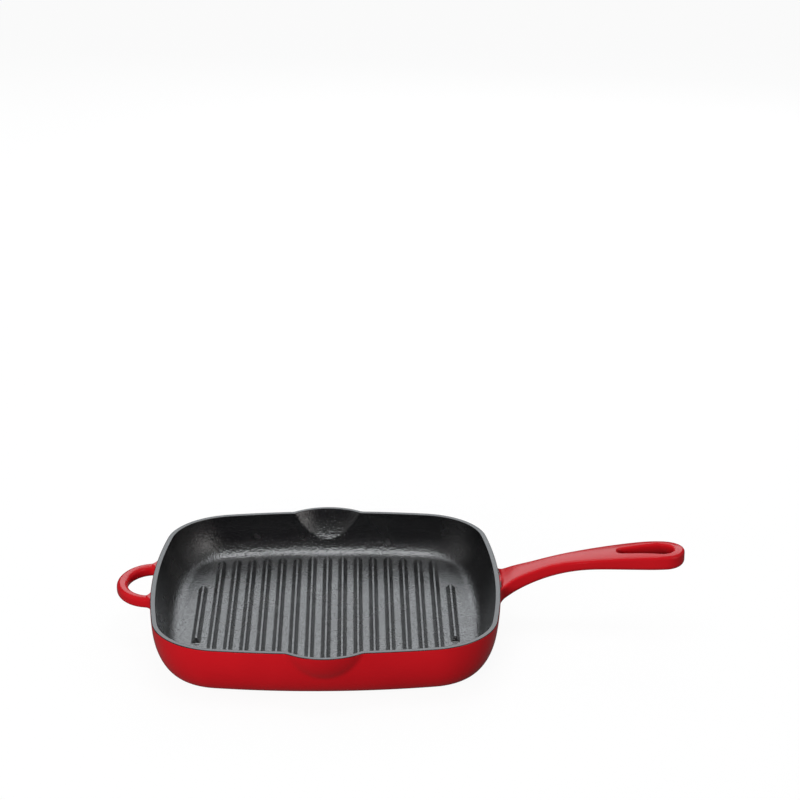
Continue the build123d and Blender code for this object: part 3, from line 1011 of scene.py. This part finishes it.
class PAN_OT_studio(Operator):
    """Builds the floor, the backdrop, the lamps, the surroundings and the camera"""

    bl_idname = "pan.studio"
    bl_label = "Studio"

    def execute(self, context):
        studio = context.scene.studio
        # A hair under the pan's foot, so the two faces don't coincide
        floor_z = -0.0001
        front, bend_y, bend_radius, half_width, top = -4.0, 2.2, 0.8, 4.5, 3.2
        profile = [(front, floor_z), (bend_y, floor_z)]
        for sine, cosine in quarter_turn(12)[1:]:
            profile.append((bend_y + bend_radius * sine, floor_z + bend_radius * (1 - cosine)))
        profile.append((bend_y + bend_radius, top))
        rows = [[(-half_width, y, z), (half_width, y, z)] for y, z in profile]
        sweep = lofted("studio_sweep", rows, round_and_round=False)
        sweep.data.materials.append(studio_white())
        white, cool, warm = (1, 1, 1), (0.92, 0.96, 1), (1, 0.97, 0.95)
        # Azimuth and elevation in degrees, distance, then width and height
        front_fill = self.lamp("front_fill", -22, 14, 1.9, (1.0, 0.6), studio.fill_power, white)
        back_fill = self.lamp("back_fill", 165, 24, 1.9, (1.0, 0.6), studio.back_fill_power, white)
        front_fill.visible_glossy = back_fill.visible_glossy = False
        self.lamp("top_softbox", 180, 82, 1.25, (0.8, 0.6), studio.top_power, (0.95, 0.98, 1))
        self.lamp("back_softbox", 178, 33, 2.1, (1.7, 1.05), studio.back_power, cool)
        self.lamp("high_back_strip", 180, 55, 1.6, (1.0, 0.35), studio.high_power, cool)
        self.lamp("front_left_lamp", -24, 45, 1.7, (0.04, 0.04), studio.left_power, white)
        self.lamp("front_right_lamp", 16, 45, 1.7, (0.04, 0.04), studio.right_power, white)
        self.lamp("side_softbox", 66, 26, 1.7, (0.6, 1.35), studio.side_power, warm)
        self.room(context, studio)
        self.camera(context, studio)
        context.scene.view_settings.view_transform = "Standard"
        return {"FINISHED"}

    def lamp(self, name, azimuth, elevation, distance, size, power, colour):
        """A softbox aimed at the pan, placed by its angles from the pan's front and from the table."""
        turn, tilt = radians(azimuth), radians(elevation)
        place = Vector((sin(turn) * cos(tilt), -cos(turn) * cos(tilt), sin(tilt))) * distance
        light = bpy.data.lights.new(name, "AREA")
        light.color = colour
        light.shape = "RECTANGLE"
        light.size, light.size_y = size
        light.energy = power
        lamp = bpy.data.objects.new(name, light)
        lamp.location = place
        lamp.rotation_euler = (-place).to_track_quat("-Z", "Y").to_euler()
        lamp.visible_camera = False
        bpy.context.scene.collection.objects.link(lamp)
        return lamp

    def room(self, context, studio):
        """Even pale light from all round, seen as white, and in the gloss darker towards the front."""
        world = bpy.data.worlds.new("Pale Room")
        world.use_nodes = True
        tree = Tree(world.node_tree)
        even = tree.nodes["Background"]
        tree.feed(even, {"Color": (1, 1, 1, 1), "Strength": studio.room})
        # In the gloss the room is pale behind the pan and dark in front of it, behind the camera
        where = tree.add("SeparateXYZ", {0: tree.add("TexCoord").outputs["Generated"]})
        to_front = tree.math("MULTIPLY", where.outputs["Y"], -1.0)
        dark = tree.add("MapRange", {"From Min": 0.15, "From Max": 0.75, "Value": to_front},
                        interpolation_type="SMOOTHSTEP").outputs["Result"]
        gloss = tree.mixed_colour(dark, (1, 1, 1), studio.dark_front)
        glossy = tree.add("Background", {"Color": gloss, "Strength": studio.room_gloss})
        white = tree.add("Background", {"Color": (1, 1, 1, 1)})
        path = tree.add("LightPath").outputs
        for ray, background in (("Is Glossy Ray", glossy), ("Is Camera Ray", white)):
            even = tree.add("MixShader", {0: path[ray], 1: even.outputs[0], 2: background.outputs[0]})
        tree.feed(tree.nodes["World Output"], {"Surface": even.outputs[0]})
        context.scene.world = world

    def camera(self, context, studio):
        """Camera placed and turned as it was fitted to the photograph."""
        lens = bpy.data.cameras.new("camera")
        lens.lens = studio.lens
        lens.sensor_width = 36.0
        lens.clip_start, lens.clip_end = 0.05, 30.0
        camera = bpy.data.objects.new("camera", lens)
        yaw, pitch, roll = studio.yaw, studio.pitch, studio.roll
        forward = Vector((sin(yaw) * cos(pitch), cos(yaw) * cos(pitch), -sin(pitch)))
        right = Vector((cos(yaw), -sin(yaw), 0.0))
        up = right.cross(forward)
        across = right * cos(roll) + up * sin(roll)
        above = up * cos(roll) - right * sin(roll)
        turn = Matrix((across, above, -forward)).transposed()
        camera.matrix_world = Matrix.Translation(Vector(studio.camera_place)) @ turn.to_4x4()
        context.scene.collection.objects.link(camera)
        context.scene.camera = camera


BUILD_ORDER = (PAN_OT_wall_glaze, PAN_OT_underside_glaze, PAN_OT_cooking_glaze, PAN_OT_ribs_glaze,
               PAN_OT_long_handle_glaze, PAN_OT_helper_handle_glaze, PAN_OT_iron_casting, PAN_OT_studio)


class PAN_PT_builder(Panel):
    """Sidebar panel that lists the pan's pieces"""

    bl_idname = "PAN_PT_builder"
    bl_label = "Grill Pan"
    bl_space_type = "VIEW_3D"
    bl_region_type = "UI"
    bl_category = "Grill Pan"

    def draw(self, context):
        for operator in BUILD_ORDER:
            self.layout.operator(operator.bl_idname)
        for name in SIZE_GROUPS:
            box = self.layout.box()
            group = getattr(context.scene, name)
            box.label(text=name.title())
            for prop in group.bl_rna.properties:
                if prop.identifier not in ("rna_type", "name"):
                    box.prop(group, prop.identifier)


def register():
    for name, group in SIZE_GROUPS.items():
        bpy.utils.register_class(group)
        setattr(bpy.types.Scene, name, PointerProperty(type=group))
    for operator in BUILD_ORDER:
        bpy.utils.register_class(operator)
    bpy.utils.register_class(PAN_PT_builder)


def unregister():
    bpy.utils.unregister_class(PAN_PT_builder)
    for operator in reversed(BUILD_ORDER):
        bpy.utils.unregister_class(operator)
    for name, group in reversed(SIZE_GROUPS.items()):
        delattr(bpy.types.Scene, name)
        bpy.utils.unregister_class(group)


def main():
    register()
    bpy.ops.pan.wall_glaze()
    bpy.ops.pan.underside_glaze()
    bpy.ops.pan.cooking_glaze()
    bpy.ops.pan.ribs_glaze()
    bpy.ops.pan.long_handle_glaze()
    bpy.ops.pan.helper_handle_glaze()
    bpy.ops.pan.iron_casting()
    bpy.ops.pan.studio()


if __name__ == "__main__":
    main()
